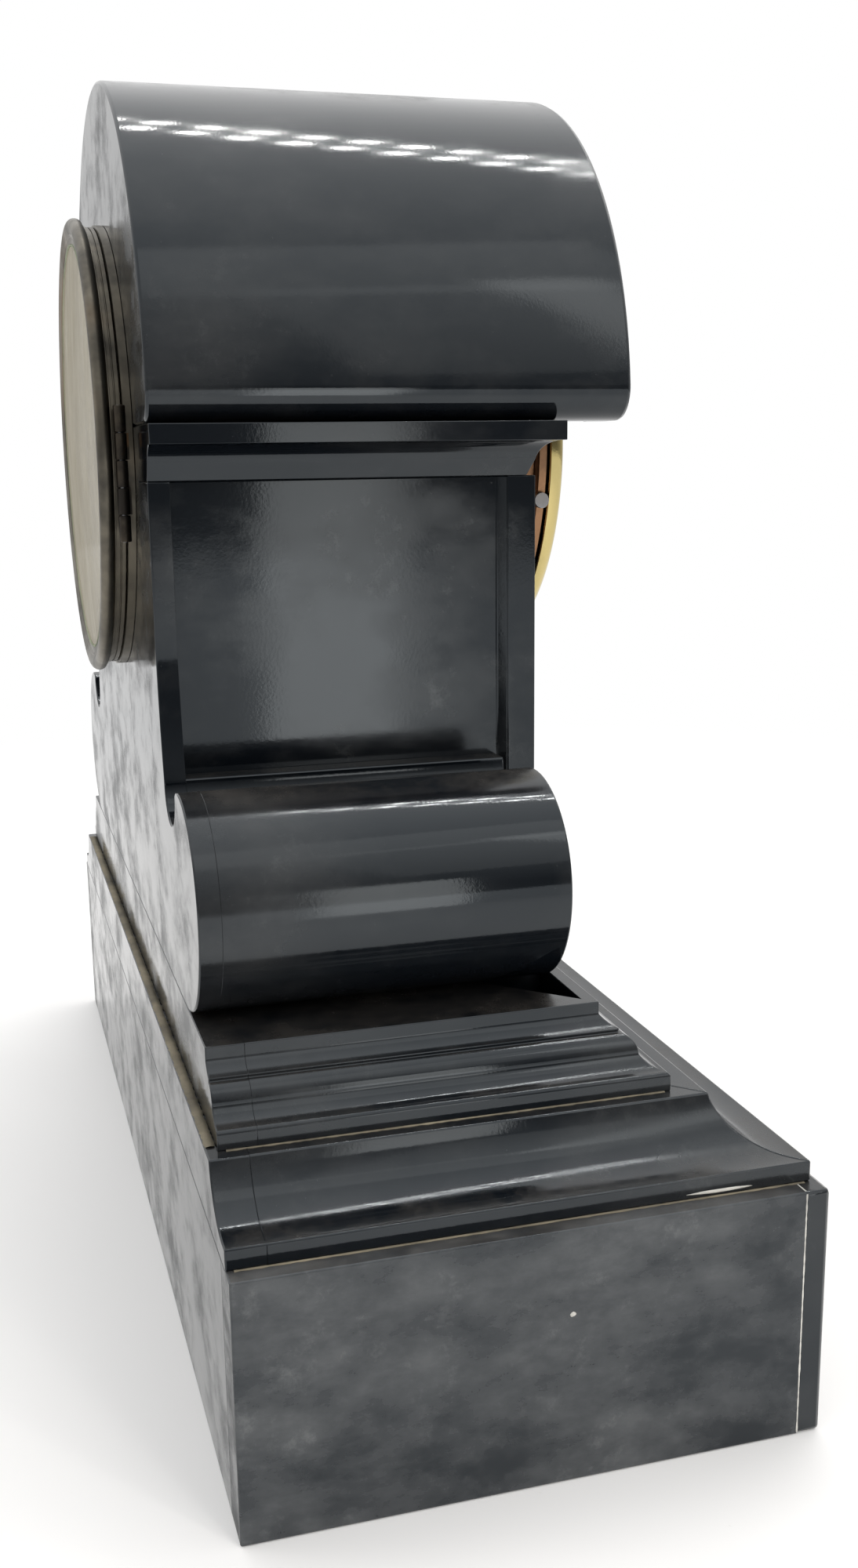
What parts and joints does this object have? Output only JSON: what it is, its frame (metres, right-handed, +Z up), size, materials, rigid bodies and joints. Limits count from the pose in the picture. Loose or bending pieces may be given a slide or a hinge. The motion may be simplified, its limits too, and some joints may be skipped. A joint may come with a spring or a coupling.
{
  "type": "drum-head slate mantel clock",
  "caption": "Black slate mantel clock with a drum head over a waisted neck, scroll consoles and a moulded plinth, a brass bezel door, a striking pendulum movement and a rear door",
  "frame": {"origin": "centre of the plinth's resting face", "axes": "+X to the right of someone facing the dial, +Y from the dial to the back, +Z up"},
  "size_m": [0.402, 0.1631, 0.365],
  "materials": {
    "slate": "polished black slate with fine scratches and dusty ledges",
    "aged_brass": "darkened cast and turned brass, worn coppery at the edges",
    "bright_brass": "polished turned brass",
    "coppery_brass": "reddish lacquered brass",
    "movement_brass": "brushed brass",
    "steel": "filed and polished steel",
    "blued_steel": "blued polished steel",
    "glass": "clear bevelled glass",
    "enamel": "cream enamel with plain black hour numerals and a minute track"
  },
  "bodies": {
    "case": {"back_plate": "movement_brass", "base_board": "slate", "bell": "bright_brass", "bell_stand": "steel", "bezel_hinge_pin": "steel", "capital_left": "slate", "capital_right": "slate", "cavetto_back": "slate", "cavetto_front": "slate", "cavetto_side_left": "slate", "cavetto_side_right": "slate", "clamp_straps": "steel", "dial": "enamel", "dial_ring": "aged_brass", "drum_back": "slate", "drum_front": "slate", "drum_shell": "slate", "front_plate": "movement_brass", "neck_front": "slate", "neck_side_left": "slate", "neck_side_right": "slate", "plinth_back": "slate", "plinth_end_left": "slate", "plinth_end_right": "slate", "plinth_front": "slate", "rear_collar": "coppery_brass", "rear_hinge_pin": "steel", "rear_ring": "coppery_brass", "rear_wall": "slate", "scroll_face_left": "slate", "scroll_face_right": "slate", "scroll_left": "slate", "scroll_right": "slate", "suspension_cock": "movement_brass", "torus_deck": "slate", "torus_front": "slate", "torus_side_left": "slate", "torus_side_right": "slate"},
    "front_door": {"bezel_ring": "aged_brass", "bezel_glass": "glass", "glass_retainer": "aged_brass"},
    "rear_door": {"rear_door_ring": "bright_brass", "rear_door_plate": "bright_brass"},
    "going_barrel": {"going_barrel": "movement_brass"},
    "going_arbor": {"going_arbor": "steel"},
    "strike_barrel": {"strike_barrel": "movement_brass"},
    "strike_arbor": {"strike_arbor": "steel"},
    "intermediate": {"intermediate_wheel": "movement_brass"},
    "centre": {"centre_wheel": "movement_brass"},
    "third": {"third_wheel": "movement_brass"},
    "escape": {"escape_wheel": "movement_brass"},
    "pins": {"pin_wheel": "movement_brass"},
    "fly": {"fly": "movement_brass"},
    "hammer": {"hammer": "steel"},
    "anchor": {"anchor": "steel"},
    "pendulum": {"pendulum_rod": "steel", "pendulum_bob": "movement_brass"},
    "minute": {"minute_hand": "blued_steel"},
    "minute_work": {"minute_wheel": "movement_brass"},
    "hour": {"hour_hand": "blued_steel"}
  },
  "joints": [
    {"name": "front_door_swing", "type": "hinge", "parent": "case", "child": "front_door", "pos_m": [0.0699, -0.07815, 0.249], "axis": [0, 0, 1], "range_deg": [0, 110]},
    {"name": "rear_door_swing", "type": "hinge", "parent": "case", "child": "rear_door", "pos_m": [-0.0682, 0.0519, 0.256], "axis": [0, 0, 1], "range_deg": [0, 100]},
    {"name": "minute_hand_turn", "type": "hinge", "parent": "case", "child": "minute", "pos_m": [0, -0.04225, 0.256], "axis": [0, 1, 0], "continuous": true},
    {"name": "hour_hand_turn", "type": "hinge", "parent": "case", "child": "hour", "pos_m": [0, -0.04225, 0.256], "axis": [0, 1, 0], "continuous": true},
    {"name": "minute_wheel_turn", "type": "hinge", "parent": "case", "child": "minute_work", "pos_m": [-0.0041, -0.04225, 0.24472], "axis": [0, 1, 0], "continuous": true},
    {"name": "third_wheel_turn", "type": "hinge", "parent": "case", "child": "third", "pos_m": [-0.01096, -0.04225, 0.27165], "axis": [0, 1, 0], "continuous": true},
    {"name": "centre_wheel_turn", "type": "hinge", "parent": "case", "child": "centre", "pos_m": [0, -0.04225, 0.256], "axis": [0, 1, 0], "continuous": true},
    {"name": "intermediate_wheel_turn", "type": "hinge", "parent": "case", "child": "intermediate", "pos_m": [0.01349, -0.04225, 0.26924], "axis": [0, 1, 0], "continuous": true},
    {"name": "going_barrel_turn", "type": "hinge", "parent": "case", "child": "going_barrel", "pos_m": [0.0225, -0.04225, 0.247], "axis": [0, 1, 0], "continuous": true},
    {"name": "escape_wheel_turn", "type": "hinge", "parent": "case", "child": "escape", "pos_m": [0, -0.04225, 0.28154], "axis": [0, 1, 0], "continuous": true},
    {"name": "going_winding", "type": "hinge", "parent": "case", "child": "going_arbor", "pos_m": [0.0225, -0.04225, 0.247], "axis": [0, 1, 0], "continuous": true},
    {"name": "pin_wheel_turn", "type": "hinge", "parent": "case", "child": "pins", "pos_m": [-0.03149, -0.04225, 0.26925], "axis": [0, 1, 0], "continuous": true},
    {"name": "strike_barrel_turn", "type": "hinge", "parent": "case", "child": "strike_barrel", "pos_m": [-0.0225, -0.04225, 0.247], "axis": [0, 1, 0], "continuous": true},
    {"name": "fly_turn", "type": "hinge", "parent": "case", "child": "fly", "pos_m": [-0.0246, -0.04225, 0.28144], "axis": [0, 1, 0], "continuous": true},
    {"name": "strike_winding", "type": "hinge", "parent": "case", "child": "strike_arbor", "pos_m": [-0.0225, -0.04225, 0.247], "axis": [0, 1, 0], "continuous": true},
    {"name": "hammer_lift", "type": "hinge", "parent": "case", "child": "hammer", "pos_m": [-0.031, -0.04225, 0.223], "axis": [0, 1, 0], "range_deg": [-12, 2.5], "stiffness_Nm_per_rad": 0.05},
    {"name": "pendulum_swing", "type": "hinge", "parent": "case", "child": "pendulum", "pos_m": [0, -0.04225, 0.295], "axis": [0, 1, 0], "range_deg": [-3, 3]},
    {"name": "anchor_rock", "type": "hinge", "parent": "case", "child": "anchor", "pos_m": [0, -0.04225, 0.295], "axis": [0, 1, 0], "range_deg": [-3, 3]}
  ],
  "couplings": [
    {"joint": "hour_hand_turn", "follows": "minute_hand_turn", "ratio": 0.083333},
    {"joint": "minute_wheel_turn", "follows": "minute_hand_turn", "ratio": -0.33333},
    {"joint": "centre_wheel_turn", "follows": "third_wheel_turn", "ratio": -0.083333},
    {"joint": "intermediate_wheel_turn", "follows": "third_wheel_turn", "ratio": 0.013889},
    {"joint": "going_barrel_turn", "follows": "third_wheel_turn", "ratio": -0.0019841},
    {"joint": "escape_wheel_turn", "follows": "third_wheel_turn", "ratio": -10.714},
    {"joint": "strike_barrel_turn", "follows": "pin_wheel_turn", "ratio": -0.14286},
    {"joint": "fly_turn", "follows": "pin_wheel_turn", "ratio": -6},
    {"joint": "anchor_rock", "follows": "pendulum_swing", "ratio": 1}
  ]
}
